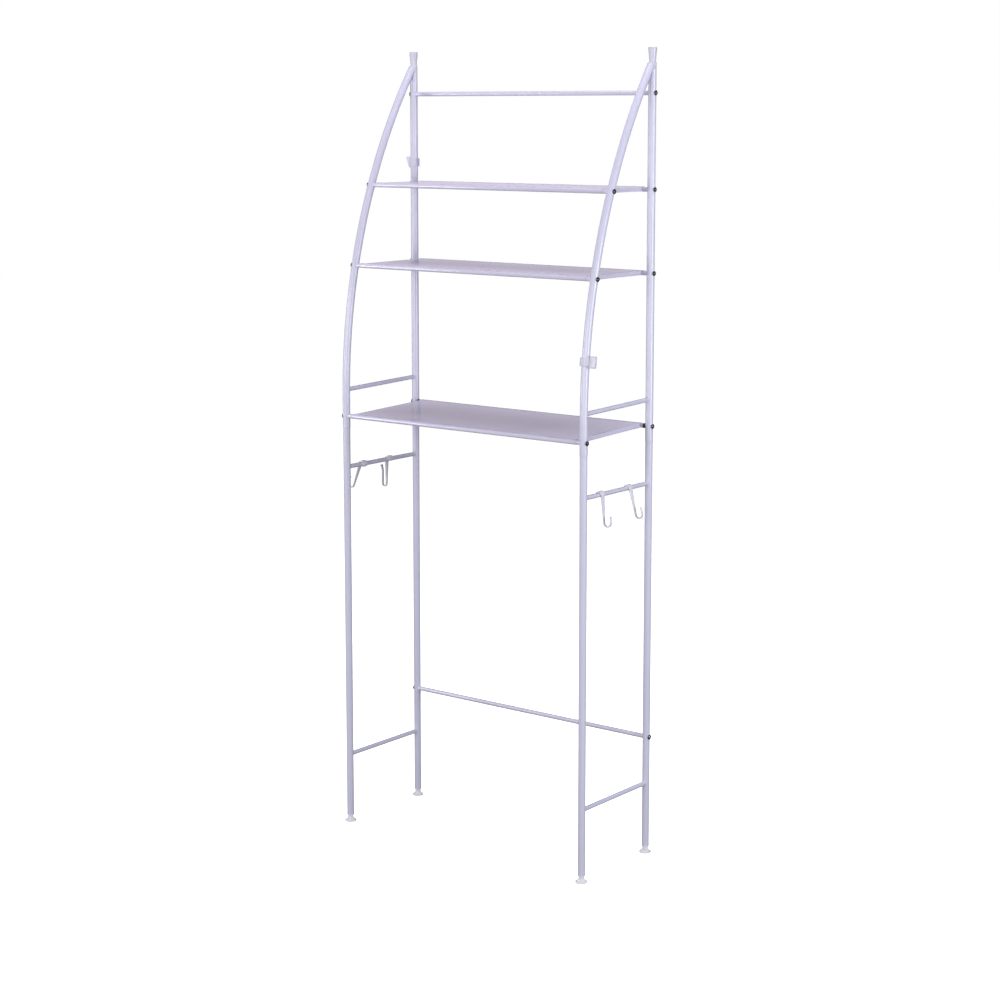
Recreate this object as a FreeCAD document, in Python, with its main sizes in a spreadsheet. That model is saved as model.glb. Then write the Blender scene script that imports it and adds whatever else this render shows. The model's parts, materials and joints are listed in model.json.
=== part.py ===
import FreeCAD, Part
import math
import os

import Sketcher

# An over the toilet storage rack of painted steel tube, in millimetres.
# +X is the rack's right side, +Y points at the wall and +Z is up. The origin
# is on the floor, midway between the four feet.

doc = FreeCAD.newDocument("StorageRack")
sheet = doc.addObject("Spreadsheet::Sheet", "Sizes")

drivingSizes = {
    # where the four uprights stand
    "halfSpan": 328,
    "halfDepth": 120,
    # lower frame tube
    "legRadius": 8,
    "legBore": 7,
    "legEnd": 17,
    "collarRadius": 8.5,
    "collarDrop": 2,
    "collarCone": 5,
    "spigotRadius": 7.65,
    "spigotReach": 44,
    # upper frame tube
    "frameJoint": 920,
    "upperRadius": 8.5,
    "upperBore": 7.7,
    "uprightTop": 1721,
    "bowStart": 990,
    "bowRadius": 1240,
    "bowFilled": 1694,
    "bowOverrun": 14,
    # cross bars and rails
    "barRadius": 5,
    "barBore": 4.2,
    "floorBarHeight": 158.5,
    "hookBarHeight": 826.5,
    "guardFront": 1002,
    "guardRear": 1008.5,
    "backBarHeight": 263,
    "topBarHeight": 1658,
    # shelves
    "upperShelfHeight": 1456,
    "middleShelfHeight": 1278.5,
    "lowerShelfFront": 942.5,
    "lowerShelfRear": 950.5,
    "panelHalf": 309.5,
    "sheetThickness": 0.8,
    "curlBore": 5.05,
    "curlEndAngle": 125,
    "flangeDrop": 4.6,
    "flangeInset": 7,
    # screws, threaded inserts and spacers
    "holeRadius": 2.8,
    "screwRadius": 2.4,
    "screwReach": 36,
    "headRadius": 5.5,
    "headRise": 3.4,
    "headEdge": 1.2,
    "domeRadius": 7.4,
    "socketRadius": 1.9,
    "socketDepth": 2,
    "insertRadius": 4.15,
    "insertBore": 2.5,
    "insertLength": 20,
    "railSetback": 5,
    "spacerRadius": 5.3,
    "spacerLength": 5,
    # top caps
    "capPlugRadius": 7.6,
    "capPlugDepth": 15,
    "capNeckRadius": 7.3,
    "capHeadRadius": 9.3,
    "capFlare": 25,
    "capHead": 7,
    "capCorner": 0.8,
    # feet
    "plugRadius": 6.95,
    "plugDepth": 15,
    "plugFlange": 8.4,
    "plugFlangeHeight": 3,
    "studBore": 3.08,
    "studRadius": 3,
    "studTop": 44,
    "studFoot": 5,
    "padRadius": 13.2,
    "padRim": 2.6,
    "padConeTop": 6.4,
    "neckRadius": 6.2,
    "neckTop": 13.5,
    # hooks
    "hookBore": 5.08,
    "hookWall": 2.8,
    "lipAngle": 205,
    "hookWidth": 15,
    "shankDrop": 59,
    "shankTopHalf": 5.6,
    "shankLowHalf": 3,
    "limbHalf": 2.8,
    "wideTurn": 7.2,
    "wideLimb": 13,
    "tallTurn": 4.6,
    "tallLimb": 28,
    "tallFlareRise": 14,
    "tallFlareOut": 4,
    # clips
    "clipBore": 8.56,
    "clipWall": 2.2,
    "clipHeight": 18,
    "clipMouth": 43,
    "clipLip": 2.4,
    "tabRoot": 9.8,
    "tabThickness": 2.4,
    "tabHalfHeight": 12.5,
    "rimWidth": 2,
    "rimDepth": 2.6,
}

for row, (alias, value) in enumerate(drivingSizes.items(), start=1):
    sheet.set("A%d" % row, alias)
    sheet.set("B%d" % row, str(value))
    sheet.setAlias("B%d" % row, alias)
doc.recompute()

nodes = []


def size(expression):
    """Value of an expression over the sheet, written as setExpression takes it."""
    value = sheet.evalExpression(expression)
    return float(getattr(value, "Value", value))


def named(alias):
    return "Sizes." + alias


def keep(piece, label):
    """Give a finished piece its node name and put it on the export list."""
    piece.Label = label
    nodes.append(piece)
    return piece


def bind(item, **expressions):
    for prop, expression in expressions.items():
        item.setExpression(prop, expression)


def place(piece, x="0", y="0", z="0", axis=(0, 0, 1), angle=0.0):
    """Turn a piece about its own origin, then move it to a place bound to the sheet."""
    piece.Placement = FreeCAD.Placement(
        FreeCAD.Vector(0, 0, 0), FreeCAD.Rotation(FreeCAD.Vector(*axis), angle))
    piece.setExpression("Placement.Base.x", x)
    piece.setExpression("Placement.Base.y", y)
    piece.setExpression("Placement.Base.z", z)


# ---------------------------------------------------------------- sketches

def originPlane(body, role):
    for feature in body.Origin.OriginFeatures:
        if feature.Role == role:
            return feature
    raise ValueError("no plane " + role)


def newSketch(body, name, role, offset="0"):
    sketch = body.newObject("Sketcher::SketchObject", name)
    sketch.AttachmentSupport = [(originPlane(body, role), "")]
    sketch.MapMode = "FlatFace"
    sketch.setExpression("AttachmentOffset.Base.z", offset)
    return sketch


def pin(sketch, edge, end, x, y):
    """Hold one end of an edge at a point whose coordinates follow the sheet."""
    for kind, expression in (("DistanceX", x), ("DistanceY", y)):
        number = sketch.addConstraint(
            Sketcher.Constraint(kind, -1, 1, edge, end, size(expression)))
        sketch.setExpression("Constraints[%d]" % number, expression)


def arcBetween(start, end, radius, side, major):
    """Arc from start to end; side is +1 when its centre is on the left of the way."""
    chord = end.sub(start)
    half = chord.Length / 2
    rise = math.sqrt(max(radius * radius - half * half, 0.0))
    left = FreeCAD.Vector(-chord.y, chord.x, 0).normalize()
    towards = side * (-1 if major else 1)
    centre = start.add(chord.multiply(0.5)).add(left.multiply(towards * rise))
    first, last = (start, end) if side > 0 else (end, start)
    angles = [math.atan2(p.y - centre.y, p.x - centre.x) for p in (first, last)]
    circle = Part.Circle(centre, FreeCAD.Vector(0, 0, 1), radius)
    return Part.ArcOfCircle(circle, angles[0], angles[1])


def outline(sketch, corners, arcs=None):
    """Closed outline through corners. arcs maps an edge's number to
    (radius expression, side, whether it is the long way round)."""
    arcs = arcs or {}
    points = [FreeCAD.Vector(size(x), size(y), 0) for x, y in corners]
    ends = []
    for number, start in enumerate(points):
        end = points[(number + 1) % len(points)]
        if number in arcs:
            radius, side, major = arcs[number]
            edge = sketch.addGeometry(arcBetween(start, end, size(radius), side, major))
            ends.append((edge, 1, 2) if side > 0 else (edge, 2, 1))
        else:
            edge = sketch.addGeometry(Part.LineSegment(start, end))
            ends.append((edge, 1, 2))
    for number, (edge, first, last) in enumerate(ends):
        follower, followerFirst, _ = ends[(number + 1) % len(ends)]
        sketch.addConstraint(
            Sketcher.Constraint("Coincident", edge, last, follower, followerFirst))
        pin(sketch, edge, first, *corners[number])
    for number, (radius, _, _) in arcs.items():
        held = sketch.addConstraint(
            Sketcher.Constraint("Radius", ends[number][0], size(radius)))
        sketch.setExpression("Constraints[%d]" % held, radius)
    return sketch


def circles(sketch, rings):
    """Circles given as (x, y, radius) expressions."""
    for x, y, radius in rings:
        centre = FreeCAD.Vector(size(x), size(y), 0)
        up = FreeCAD.Vector(0, 0, 1)
        ring = sketch.addGeometry(Part.Circle(centre, up, size(radius)))
        held = sketch.addConstraint(Sketcher.Constraint("Radius", ring, size(radius)))
        sketch.setExpression("Constraints[%d]" % held, radius)
        pin(sketch, ring, 3, x, y)
    return sketch


# ---------------------------------------------------------------- features

def newBody(name):
    return doc.addObject("PartDesign::Body", name)


def revolve(body, sketch):
    """Full turn about the body's Z axis of a half section drawn on its XZ plane."""
    feature = body.newObject("PartDesign::Revolution", "Turned")
    feature.Profile = sketch
    feature.ReferenceAxis = (sketch, ["V_Axis"])
    feature.Angle = 360
    return feature


def pad(body, sketch, length, symmetric=True):
    feature = body.newObject("PartDesign::Pad", "Pad")
    feature.Profile = sketch
    feature.SideType = "Symmetric" if symmetric else "One side"
    feature.setExpression("Length", length)
    return feature


def pocket(body, sketch, symmetric=True, upward=False):
    """Cut a sketch through the whole piece: both ways, or one way from its plane."""
    doc.recompute()
    before = body.Shape.Volume
    feature = body.newObject("PartDesign::Pocket", "Pocket")
    feature.Profile = sketch
    feature.Type = "ThroughAll"
    if symmetric:
        feature.SideType = "Symmetric"
    feature.Reversed = upward
    doc.recompute()
    if abs(feature.Shape.Volume - before) < 0.01:
        raise ValueError("a pocket of %s cuts nothing" % body.Name)
    return feature


def crossHoles(body, heights, y="0"):
    """Screw holes along X, through both walls of a tube."""
    sketch = newSketch(body, "ScrewHoles", "YZ_Plane")
    circles(sketch, [(y, height, named("holeRadius")) for height in heights])
    pocket(body, sketch)


def group(label, pieces):
    """Several equal solids that share one node."""
    compound = doc.addObject("Part::Compound", "Group")
    compound.Links = pieces
    return keep(compound, label)


def cylinder(radius, length, x="0", y="0", z="0", axis=(0, 0, 1), angle=0.0):
    piece = doc.addObject("Part::Cylinder", "Cylinder")
    bind(piece, Radius=radius, Height=length)
    place(piece, x, y, z, axis, angle)
    return piece


def cut(base, tools):
    piece = doc.addObject("Part::Cut", "Cut")
    piece.Base = base
    if len(tools) == 1:
        piece.Tool = tools[0]
    else:
        fused = doc.addObject("Part::MultiFuse", "Tools")
        fused.Shapes = tools
        piece.Tool = fused
    return piece


# ---------------------------------------------------------------- frames

sides = {"left": -1, "right": 1}
toX = (0, 1, 0)
toY = (1, 0, 0)


def uprightX(side):
    return "%d * Sizes.halfSpan" % side


def uprightY(end):
    return "%d * Sizes.halfDepth" % end


def leg(label, side, end, holes):
    """Lower frame upright: bored tube, a coned collar under the joint, a spigot above it."""
    body = newBody("Leg")
    joint = named("frameJoint")
    collar = joint + " - Sizes.collarDrop"
    cone = collar + " - Sizes.collarCone"
    spigot = joint + " + Sizes.spigotReach"
    section = newSketch(body, "Section", "XZ_Plane")
    outline(section, [
        (named("legBore"), named("legEnd")),
        (named("legRadius"), named("legEnd")),
        (named("legRadius"), cone),
        (named("collarRadius"), collar),
        (named("collarRadius"), joint),
        (named("spigotRadius"), joint),
        (named("spigotRadius"), spigot),
        (named("legBore"), spigot),
    ])
    revolve(body, section)
    crossHoles(body, holes)
    place(body, uprightX(side), uprightY(end))
    return keep(body, label)


def rearUpright(label, side):
    body = newBody("Upright")
    foot = named("frameJoint")
    top = named("uprightTop")
    section = newSketch(body, "Section", "XZ_Plane")
    outline(section, [
        (named("upperBore"), foot),
        (named("upperRadius"), foot),
        (named("upperRadius"), top),
        (named("upperBore"), top),
    ])
    revolve(body, section)
    crossHoles(body, [named("lowerShelfRear"), named("middleShelfHeight"),
                      named("upperShelfHeight"), named("topBarHeight")])
    place(body, uprightX(side), uprightY(1))
    return keep(body, label)


def bowY(height):
    """How far the bow's centre line has leaned back from its straight foot at a height."""
    rise = "(%s - Sizes.bowStart)" % height
    return "Sizes.bowRadius - sqrt(Sizes.bowRadius ^ 2 - %s ^ 2)" % rise


def bend(body, kind, radius, top):
    """Carry a circle round the bow's centre, from the straight's end up to a height."""
    sketch = circles(newSketch(body, "Bend", "XY_Plane", named("bowStart")),
                     [("0", "0", radius)])
    ends = ((named("bowRadius"), 1, "10"), (named("bowRadius"), 2, "-10"))
    right, left = [FreeCAD.Vector(size(x), size(y), 0) for y, _, x in ends]
    axis = sketch.addGeometry(Part.LineSegment(right, left), True)
    for y, end, x in ends:
        pin(sketch, axis, end, x, y)
    feature = body.newObject("PartDesign::" + kind, kind)
    feature.Profile = sketch
    feature.ReferenceAxis = (sketch, ["Axis0"])
    feature.setExpression("Angle", "asin((%s - Sizes.bowStart) / Sizes.bowRadius)" % top)
    return feature


def frontBow(label, side):
    """Upper front tube, coped round the rear upright that it is welded to."""
    body = newBody("Bow")
    joint = named("frameJoint")
    reach = "2 * Sizes.halfDepth"
    ring = circles(newSketch(body, "Straight", "XY_Plane", joint),
                   [("0", "0", named("upperRadius")), ("0", "0", named("upperBore"))])
    pad(body, ring, "Sizes.bowStart - Sizes.frameJoint", symmetric=False)
    bend(body, "Revolution", named("upperRadius"), "(Sizes.uprightTop + Sizes.bowOverrun)")
    bend(body, "Groove", named("upperBore"), named("bowFilled"))
    cope = circles(newSketch(body, "Cope", "XY_Plane", joint),
                   [("0", reach, named("upperRadius"))])
    pocket(body, cope, symmetric=False, upward=True)
    wide = "2 * Sizes.upperRadius"
    beyond = reach + " + 4 * Sizes.upperRadius"
    behind = outline(newSketch(body, "Behind", "XY_Plane", joint), [
        ("-%s" % wide, reach), (wide, reach), (wide, beyond), ("-%s" % wide, beyond)])
    pocket(body, behind, symmetric=False, upward=True)
    above = outline(newSketch(body, "Above", "XY_Plane", named("uprightTop")), [
        ("-%s" % wide, "0"), (wide, "0"), (wide, beyond), ("-%s" % wide, beyond)])
    pocket(body, above, symmetric=False, upward=True)
    heights = [named("middleShelfHeight"), named("upperShelfHeight")]
    crossHoles(body, [named("lowerShelfFront")])
    for height in heights:
        crossHoles(body, [height], bowY(height))
    place(body, uprightX(side), uprightY(-1))
    return keep(body, label)


def sideBar(label, side, front, rear, uprightRadius, lean="0"):
    """Bar of one side frame, front to rear, its ends coped round both uprights.
    lean is how far the front upright has already bent back at the bar."""
    rise = size("%s - %s" % (rear, front))
    depth = size("2 * Sizes.halfDepth")
    pitch = -90 + math.degrees(math.atan2(rise, depth))
    length = "sqrt((2 * Sizes.halfDepth) ^ 2 + (%s - %s) ^ 2)" % (rear, front)
    spot = (uprightX(side), uprightY(-1), front)
    solid = cylinder(named("barRadius"), length, *spot, axis=toY, angle=pitch)
    bore = cylinder(named("barBore"), length, *spot, axis=toY, angle=pitch)
    tall = "4 * Sizes.barRadius"
    uprights = [
        cylinder(uprightRadius, tall, uprightX(side), y, height + " - 2 * Sizes.barRadius")
        for y, height in ((uprightY(-1) + " + " + lean, front), (uprightY(1), rear))]
    return keep(cut(solid, [bore] + uprights), label)


def sideFrames():
    for name, side in sides.items():
        leg(name + "_front_leg", side, -1, [named("lowerShelfFront")])
        leg(name + "_rear_leg", side, 1,
            [named("lowerShelfRear"), named("backBarHeight")])
        rearUpright(name + "_rear_upright", side)
        frontBow(name + "_front_bow", side)
        low = named("floorBarHeight")
        hang = named("hookBarHeight")
        sideBar(name + "_floor_bar", side, low, low, named("legRadius"))
        sideBar(name + "_hook_bar", side, hang, hang, named("legRadius"))
        guard = named("guardFront")
        sideBar(name + "_guard_bar", side, guard, named("guardRear"),
                named("upperRadius"), bowY(guard + " + Sizes.barRadius"))


# ---------------------------------------------------------------- bars, rails, shelves

def spanBar(label, y, height, uprightRadius, setback="0", slope="0"):
    """Tube across the rack between two uprights. With no setback its ends are coped.
    slope is the sine of the uprights' lean to the rear."""
    half = "(Sizes.halfSpan - %s)" % setback
    spot = ("-" + half, y, height)
    solid = cylinder(named("barRadius"), "2 * " + half, *spot, axis=toX, angle=90)
    bore = cylinder(named("barBore"), "2 * " + half, *spot, axis=toX, angle=90)
    tools = [bore]
    if setback == "0":
        lean = math.degrees(math.asin(size(slope)))
        back = "%s - 2 * Sizes.barRadius * %s" % (y, slope)
        down = "%s - 2 * Sizes.barRadius * sqrt(1 - %s ^ 2)" % (height, slope)
        tools += [cylinder(uprightRadius, "4 * Sizes.barRadius", uprightX(side), back, down,
                           axis=(1, 0, 0), angle=-lean)
                  for side in sides.values()]
    return keep(cut(solid, tools), label)


def shelfPanel(label, front, rear):
    """Sheet with its front and rear edges curled round the rails and its ends
    folded down. front and rear are the rails' (y, z)."""
    run = size("%s - (%s)" % (rear[0], front[0]))
    rise = size("%s - %s" % (rear[1], front[1]))
    depth = "sqrt((%s - (%s)) ^ 2 + (%s - %s) ^ 2)" % (rear[0], front[0], rear[1], front[1])
    body = newBody("Panel")
    bore = named("curlBore")
    outside = "(Sizes.curlBore + Sizes.sheetThickness)"
    sweep = "(90 + Sizes.curlEndAngle)"
    lift = "sin(%s * 1deg)" % sweep
    side = "cos(%s * 1deg)" % sweep
    section = newSketch(body, "Section", "YZ_Plane")
    outline(section, [
        ("0", outside),
        ("%s * %s" % (outside, side), "%s * %s" % (outside, lift)),
        ("%s * %s" % (bore, side), "%s * %s" % (bore, lift)),
        ("0", bore),
        (depth, bore),
        ("%s - %s * %s" % (depth, bore, side), "%s * %s" % (bore, lift)),
        ("%s - %s * %s" % (depth, outside, side), "%s * %s" % (outside, lift)),
        (depth, outside),
    ], {
        0: (outside, 1, False),
        2: (bore, -1, False),
        4: (bore, -1, False),
        6: (outside, 1, False),
    })
    pad(body, section, "2 * Sizes.panelHalf")
    for side, foot in ((-1, "-Sizes.panelHalf"),
                       (1, "Sizes.panelHalf - Sizes.sheetThickness")):
        inset = named("flangeInset")
        flange = outline(newSketch(body, "Flange", "YZ_Plane", foot), [
            (inset, bore + " + Sizes.sheetThickness / 2"),
            (inset, "-Sizes.flangeDrop"),
            (depth + " - " + inset, "-Sizes.flangeDrop"),
            (depth + " - " + inset, bore + " + Sizes.sheetThickness / 2"),
        ])
        pad(body, flange, named("sheetThickness"), symmetric=False)
    place(body, "0", front[0], front[1], (1, 0, 0), math.degrees(math.atan2(rise, run)))
    return keep(body, label)


def turned(name, corners, arcs=None):
    body = newBody(name)
    revolve(body, outline(newSketch(body, "Section", "XZ_Plane"), corners, arcs))
    return body


def screw(side, y, height, uprightRadius):
    """Pan head screw that enters an upright from outside, its head on the tube's side."""
    rim = named("headEdge")
    body = turned("Screw", [
        ("0", "-Sizes.screwReach"),
        (named("screwRadius"), "-Sizes.screwReach"),
        (named("screwRadius"), "0"),
        (named("headRadius"), "0"),
        (named("headRadius"), rim),
        (named("socketRadius"), named("headRise")),
        (named("socketRadius"), named("headRise") + " - Sizes.socketDepth"),
        ("0", named("headRise") + " - Sizes.socketDepth"),
    ], {4: (named("domeRadius"), 1, False)})
    face = "%d * (Sizes.halfSpan + %s)" % (side, uprightRadius)
    place(body, face, y, height, toX, 90 * side)
    return body


def insert(side, y, height, mouth):
    """Threaded bush in a tube's end, its mouth towards the upright."""
    body = turned("Insert", [
        (named("insertBore"), "-Sizes.insertLength"),
        (named("insertRadius"), "-Sizes.insertLength"),
        (named("insertRadius"), "0"),
        (named("insertBore"), "0"),
    ])
    place(body, "%d * (%s)" % (side, mouth), y, height, toX, 90 * side)
    return body


def fastenings(label, spots, mouths=None, uprightRadius="Sizes.upperRadius"):
    """Screws and inserts of one cross member: two ends at each of its (y, z) spots."""
    flush = "Sizes.halfSpan - %s - 0.2" % uprightRadius
    mouths = mouths or [flush] * len(spots)
    screws = [screw(side, y, height, uprightRadius)
              for y, height in spots for side in sides.values()]
    inserts = [insert(side, *spot, mouth)
               for spot, mouth in zip(spots, mouths) for side in sides.values()]
    group(label + "_screws", screws)
    group(label + "_inserts", inserts)


def spacers(label, y, height):
    """Saddle spacers between a set-back rail's inserts and the uprights."""
    pieces = []
    for side in sides.values():
        inner = "%d * (Sizes.halfSpan - Sizes.upperRadius - Sizes.spacerLength)" % side
        reach = "Sizes.spacerLength + Sizes.upperRadius"
        spot = (inner, y, height)
        solid = cylinder(named("spacerRadius"), reach, *spot, axis=toX, angle=90 * side)
        bore = cylinder(named("insertBore"), reach, *spot, axis=toX, angle=90 * side)
        tube = cylinder(named("upperRadius"), "4 * Sizes.spacerRadius", uprightX(side), y,
                        height + " - 2 * Sizes.spacerRadius")
        pieces.append(cut(solid, [bore, tube]))
    group(label, pieces)


def shelves():
    rear = uprightY(1)
    for name, height in (("upper", named("upperShelfHeight")),
                         ("middle", named("middleShelfHeight"))):
        front = "-Sizes.halfDepth + " + bowY(height)
        slope = "((%s - Sizes.bowStart) / Sizes.bowRadius)" % height
        spanBar(name + "_shelf_front_rail", front, height, named("upperRadius"),
                slope=slope)
        spanBar(name + "_shelf_rear_rail", rear, height, named("upperRadius"))
        shelfPanel(name + "_shelf_panel", (front, height), (rear, height))
        fastenings(name + "_shelf", [(front, height), (rear, height)])
    front = uprightY(-1)
    low = named("lowerShelfFront")
    high = named("lowerShelfRear")
    setback = "(Sizes.upperRadius + Sizes.railSetback)"
    spanBar("lower_shelf_front_rail", front, low, named("upperRadius"))
    spanBar("lower_shelf_rear_rail", rear, high, named("upperRadius"), setback)
    shelfPanel("lower_shelf_panel", (front, low), (rear, high))
    flush = "Sizes.halfSpan - Sizes.upperRadius - 0.2"
    short = "Sizes.halfSpan - Sizes.upperRadius - Sizes.spacerLength"
    fastenings("lower_shelf", [(front, low), (rear, high)], [flush, short])
    spacers("lower_shelf_rear_spacers", rear, high)


def rearBars():
    rear = uprightY(1)
    for name, height, radius in (("top_bar", "topBarHeight", "upperRadius"),
                                 ("back_bar", "backBarHeight", "legRadius")):
        spanBar(name, rear, named(height), named(radius))
        fastenings(name, [(rear, named(height))], uprightRadius=named(radius))


# ---------------------------------------------------------------- caps and feet

def topCap(label, side):
    top = named("uprightTop")
    flare = top + " + Sizes.capFlare"
    head = flare + " + Sizes.capHead"
    corner = named("capCorner")
    bend = ("((Sizes.capHeadRadius - Sizes.capNeckRadius) ^ 2 + Sizes.capFlare ^ 2)"
            " / (2 * (Sizes.capHeadRadius - Sizes.capNeckRadius))")
    body = turned("Cap", [
        ("0", top + " - Sizes.capPlugDepth"),
        (named("capPlugRadius"), top + " - Sizes.capPlugDepth"),
        (named("capPlugRadius"), top),
        (named("capNeckRadius"), top),
        (named("capHeadRadius"), flare),
        (named("capHeadRadius"), head + " - " + corner),
        (named("capHeadRadius") + " - " + corner, head),
        ("0", head),
    ], {3: (bend, -1, False), 5: (corner, 1, False)})
    place(body, uprightX(side), uprightY(1))
    return keep(body, label)


def legPlug(side, end):
    """Plastic plug in a leg's open end, bored for the foot's stud."""
    seat = named("legEnd")
    under = seat + " - Sizes.plugFlangeHeight"
    body = turned("Plug", [
        (named("studBore"), under),
        (named("plugFlange") + " - 1", under),
        (named("plugFlange"), under + " + 1"),
        (named("plugFlange"), seat),
        (named("plugRadius"), seat),
        (named("plugRadius"), seat + " + Sizes.plugDepth"),
        (named("studBore"), seat + " + Sizes.plugDepth"),
    ], {1: ("1", 1, False)})
    place(body, uprightX(side), uprightY(end))
    return body


def foot(corner, side, end):
    """Levelling foot: a coned pad moulded on the end of a threaded stud."""
    pad = turned("Pad", [
        ("0", "0"),
        (named("padRadius") + " - 0.6", "0"),
        (named("padRadius"), "0.6"),
        (named("padRadius"), named("padRim")),
        (named("neckRadius"), named("padConeTop")),
        (named("neckRadius"), named("neckTop")),
        (named("studRadius"), named("neckTop")),
        (named("studRadius"), named("studFoot")),
        ("0", named("studFoot")),
    ])
    place(pad, uprightX(side), uprightY(end))
    keep(pad, corner + "_foot_pad")
    stud = cylinder(named("studRadius"), "Sizes.studTop - Sizes.studFoot",
                    uprightX(side), uprightY(end), named("studFoot"))
    keep(stud, corner + "_foot_stud")


def capsAndFeet():
    plugs = []
    for name, side in sides.items():
        topCap(name + "_top_cap", side)
        for row, end in (("front", -1), ("rear", 1)):
            plugs.append(legPlug(side, end))
            foot(name + "_" + row, side, end)
    group("leg_plugs", plugs)


# ---------------------------------------------------------------- hooks and clips

def hook(label, side, y, swing, tall):
    """Push-on J hook. It is drawn for the right side, hanging on a bar along Y with
    its point outward. swing leans it out from hanging straight down."""
    body = newBody("Hook")
    bore = named("hookBore")
    back = "(Sizes.hookBore + Sizes.hookWall)"
    turn = named("tallTurn" if tall else "wideTurn")
    outTurn = "(%s + Sizes.hookWall)" % turn
    level = "-Sizes.shankDrop"
    middle = "%s + %s" % (back, turn)
    inner = "%s + 2 * %s" % (back, turn)
    outer = inner + " + Sizes.hookWall"
    lipX = "cos(Sizes.lipAngle * 1deg)"
    lipZ = "sin(Sizes.lipAngle * 1deg)"
    if tall:
        knee = level + " + Sizes.tallLimb"
        tip = knee + " + Sizes.tallFlareRise"
        limb = [(outer, knee), (outer + " + Sizes.tallFlareOut", tip),
                (inner + " + Sizes.tallFlareOut", tip), (inner, knee)]
    else:
        tip = level + " + Sizes.wideLimb"
        limb = [(outer, tip), (inner, tip)]
    corners = [
        ("%s * %s" % (bore, lipX), "%s * %s" % (bore, lipZ)),
        (bore, "0"),
        (bore, level),
        (middle, "%s - %s" % (level, outTurn)),
        (outer, level),
    ] + limb + [
        (inner, level),
        (middle, "%s - %s" % (level, turn)),
        (back, level),
        (back, "0"),
        ("%s * %s" % (back, lipX), "%s * %s" % (back, lipZ)),
    ]
    last = len(corners)
    arcs = {
        0: (bore, -1, True),
        2: (outTurn, 1, False),
        3: (outTurn, 1, False),
        last - 5: (turn, -1, False),
        last - 4: (turn, -1, False),
        last - 2: (back, 1, True),
    }
    strip = outline(newSketch(body, "Strip", "XZ_Plane"), corners, arcs)
    pad(body, strip, named("hookWidth"))
    shoulder = "-Sizes.hookBore"
    wide = "Sizes.hookWidth"
    for hand in ("", "-"):
        taper = outline(newSketch(body, "Taper", "YZ_Plane"), [
            (hand + named("shankTopHalf"), shoulder),
            (hand + named("shankLowHalf"), level),
            (hand + named("shankLowHalf"), "2 * " + level),
            (hand + wide, "2 * " + level),
            (hand + wide, shoulder),
        ])
        pocket(body, taper)
        slim = outline(newSketch(body, "Slim", "XY_Plane"), [
            (back + " + 1", hand + named("limbHalf")),
            ("4 * " + back, hand + named("limbHalf")),
            ("4 * " + back, hand + wide),
            (back + " + 1", hand + wide),
        ])
        pocket(body, slim)
    place(body, uprightX(side), str(y), named("hookBarHeight"))
    facing = FreeCAD.Rotation(FreeCAD.Vector(0, 0, 1), 0 if side > 0 else 180)
    lean = FreeCAD.Rotation(FreeCAD.Vector(0, 1, 0), -swing)
    body.Placement.Rotation = facing.multiply(lean)
    return keep(body, label)


def clip(label, reachTop, reachLow):
    """Push-on clip: a C collar for the upper tube with a rimmed tab on its closed side."""
    body = newBody("Clip")
    bore = named("clipBore")
    outside = "(Sizes.clipBore + Sizes.clipWall)"
    mouth = "(180 - Sizes.clipMouth)"
    lips = []
    for hand in ("", "-"):
        for radius in (outside, bore):
            lips.append(("%s * cos(%s * 1deg)" % (radius, mouth),
                         "%s%s * sin(%s * 1deg)" % (hand, radius, mouth)))
    collar = outline(newSketch(body, "Collar", "XY_Plane"), [
        lips[0],
        (lips[0][0] + " - Sizes.clipLip", lips[0][1] + " + Sizes.clipLip / 2"),
        (lips[1][0] + " - Sizes.clipLip", lips[1][1] + " + Sizes.clipLip / 2"),
        lips[1],
        lips[3],
        (lips[3][0] + " - Sizes.clipLip", lips[3][1] + " - Sizes.clipLip / 2"),
        (lips[2][0] + " - Sizes.clipLip", lips[2][1] + " - Sizes.clipLip / 2"),
        lips[2],
    ], {3: (bore, -1, True), 7: (outside, 1, True)})
    pad(body, collar, named("clipHeight"))
    root = named("tabRoot")
    top = named("tabHalfHeight")
    tab = outline(newSketch(body, "Tab", "XZ_Plane"), [
        (root, "-" + top), (str(reachLow), "-" + top), (str(reachTop), top), (root, top)])
    pad(body, tab, named("tabThickness"))
    rim = named("rimWidth")
    edge = outline(newSketch(body, "Rim", "XZ_Plane"), [
        (root, "-" + top),
        (str(reachLow), "-" + top),
        (str(reachTop), top),
        (root, top),
        (root, top + " - " + rim),
        ("%s - %s" % (reachTop, rim), top + " - " + rim),
        ("%s - %s" % (reachLow, rim), rim + " - " + top),
        (root, rim + " - " + top),
    ])
    pad(body, edge, "Sizes.tabThickness / 2 + Sizes.rimDepth", symmetric=False)
    return keep(body, label)


def hooksAndClips():
    hook("right_front_hook", 1, -60, 4, False)
    hook("right_rear_hook", 1, 42, 14, False)
    hook("left_front_hook", -1, -66.5, 22, False)
    hook("left_rear_hook", -1, 23.5, 1, True)
    left = clip("left_clip", 24.5, 15.5)
    place(left, uprightX(-1), uprightY(1), "1503.5", angle=180)
    right = clip("right_clip", 28.5, 27.5)
    rest = math.degrees(math.asin(120.5 / size(named("bowRadius"))))
    place(right, uprightX(1), "-Sizes.halfDepth + " + bowY("1110.5"), "1110.5",
          (1, 0, 0), -rest)


# ---------------------------------------------------------------- build and write

def checkDocument():
    doc.recompute()
    for item in doc.Objects:
        faults = [state for state in item.State if state in ("Invalid", "Error")]
        if faults:
            raise ValueError("%s (%s) is %s" % (item.Label, item.Name, faults))
    for piece in nodes:
        if piece.Shape.isNull() or not piece.Shape.isValid():
            raise ValueError("bad shape: " + piece.Label)


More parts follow.
